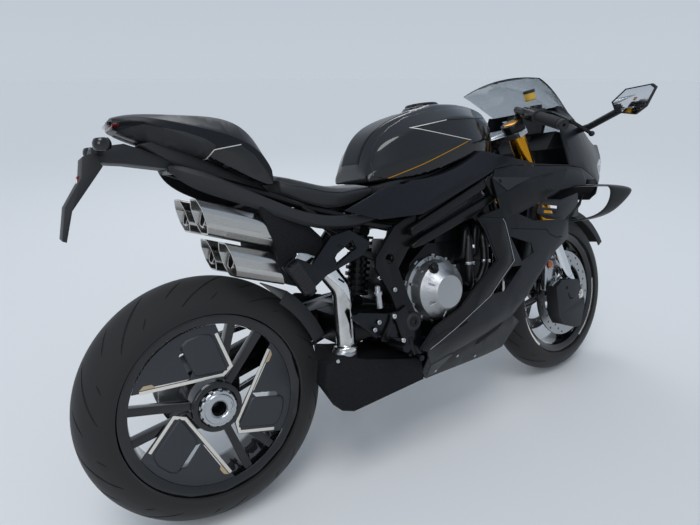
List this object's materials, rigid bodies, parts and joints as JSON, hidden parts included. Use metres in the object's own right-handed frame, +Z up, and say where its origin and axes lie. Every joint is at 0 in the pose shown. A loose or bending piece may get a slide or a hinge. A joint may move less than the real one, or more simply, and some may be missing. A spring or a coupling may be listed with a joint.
{
  "type": "sport bike",
  "caption": "Faired sport bike parked on its side stand, with steering, turning wheels, a folding stand and an opening fuel cap.",
  "frame": {"origin": "centre of the whole box on the ground, as parked leaning on the side stand", "axes": "+X towards the front wheel, +Y to the rider's left, +Z up"},
  "size_m": [1.9855, 0.8706, 1.086],
  "materials": {
    "tyre": "matte rubber",
    "wheel_enamel": "gloss enamel",
    "cover_plastic": "satin moulded",
    "machined_steel": "machined",
    "anodised_alloy": "satin anodised",
    "gold_anodised": "gold anodised",
    "polished_chrome": "polished",
    "black_enamel": "satin enamel",
    "frame_enamel": "satin enamel",
    "grip_rubber": "ribbed rubber",
    "satin_plastic": "satin moulded",
    "cast_alloy": "cast and blasted",
    "dark_alloy": "dark anodised",
    "brushed_exhaust": "brushed",
    "exhaust_black": "matt heat-proof coat",
    "shock_spring": "satin enamel",
    "fairing_satin": "satin lacquer",
    "lamp_lens": "clear lens",
    "tank_gloss": "deep gloss lacquer",
    "seat_leather": "grained",
    "screen_acrylic": "smoked acrylic",
    "mirror_glass": "mirror"
  },
  "bodies": {
    "chassis": {"engine_block": "cast_alloy", "main_frame": "frame_enamel", "seat_subframe": "frame_enamel", "clutch_cover": "cast_alloy", "radiator": "dark_alloy", "exhaust_headers": "brushed_exhaust", "exhaust_chamber": "exhaust_black", "link_pipe": "brushed_exhaust", "silencers": "brushed_exhaust", "silencer_shield": "exhaust_black", "swingarm": "frame_enamel", "drive_chain": "machined_steel", "rear_shock": "shock_spring", "rear_hugger": "satin_plastic", "footrests": "anodised_alloy", "side_fairings": "fairing_satin", "tank_covers": "fairing_satin", "belly_pan": "fairing_satin", "headlamps": "lamp_lens", "nose_fairing": "fairing_satin", "fuel_tank": "tank_gloss", "rider_seat": "seat_leather", "tail_cowl": "tank_gloss", "tail_sides": "satin_plastic", "plate_holder": "satin_plastic", "rear_lamps": "satin_plastic", "windscreen": "screen_acrylic", "instrument_panel": "satin_plastic", "mirrors": "satin_plastic", "mirror_glasses": "mirror_glass", "winglets": "fairing_satin", "stand_bracket": "black_enamel"},
    "steering": {"fork_outers": "gold_anodised", "fork_legs": "polished_chrome", "triple_clamps": "anodised_alloy", "handlebars": "black_enamel", "grips": "grip_rubber", "front_mudguard": "satin_plastic", "front_calipers": "anodised_alloy", "brake_ducts": "satin_plastic"},
    "front_wheel": {"front_tyre": "tyre", "front_rim": "wheel_enamel", "front_discs": "machined_steel"},
    "rear_wheel": {"rear_tyre": "tyre", "rear_rim": "wheel_enamel", "wheel_covers": "cover_plastic", "rear_drive": "machined_steel", "rear_hub_nut": "anodised_alloy"},
    "side_stand": {"side_stand": "black_enamel"},
    "fuel_cap": {"fuel_cap": "anodised_alloy"}
  },
  "joints": [
    {"name": "steering_head", "type": "hinge", "parent": "chassis", "child": "steering", "pos_m": [0.39474, -0.02198, 0.8673], "axis": [-0.4016, 0.1934, 0.8951], "range_deg": [-29.2, 20.8]},
    {"name": "front_wheel_spin", "type": "hinge", "parent": "steering", "child": "front_wheel", "pos_m": [0.68408, -0.14338, 0.29499], "axis": [-0.0673, 0.9686, -0.2395], "continuous": true},
    {"name": "rear_wheel_spin", "type": "hinge", "parent": "chassis", "child": "rear_wheel", "pos_m": [-0.67582, -0.14236, 0.31185], "axis": [-0.0003, 0.9774, -0.2113], "continuous": true},
    {"name": "side_stand_fold", "type": "hinge", "parent": "chassis", "child": "side_stand", "pos_m": [-0.15594, 0.01609, 0.22067], "axis": [0.0622, 0.8814, 0.4683], "range_deg": [0, 104.1]},
    {"name": "fuel_cap_flap", "type": "hinge", "parent": "chassis", "child": "fuel_cap", "pos_m": [0.18205, 0.00726, 1.00279], "axis": [-0.0003, 0.9774, -0.2113], "range_deg": [0, 85]}
  ]
}
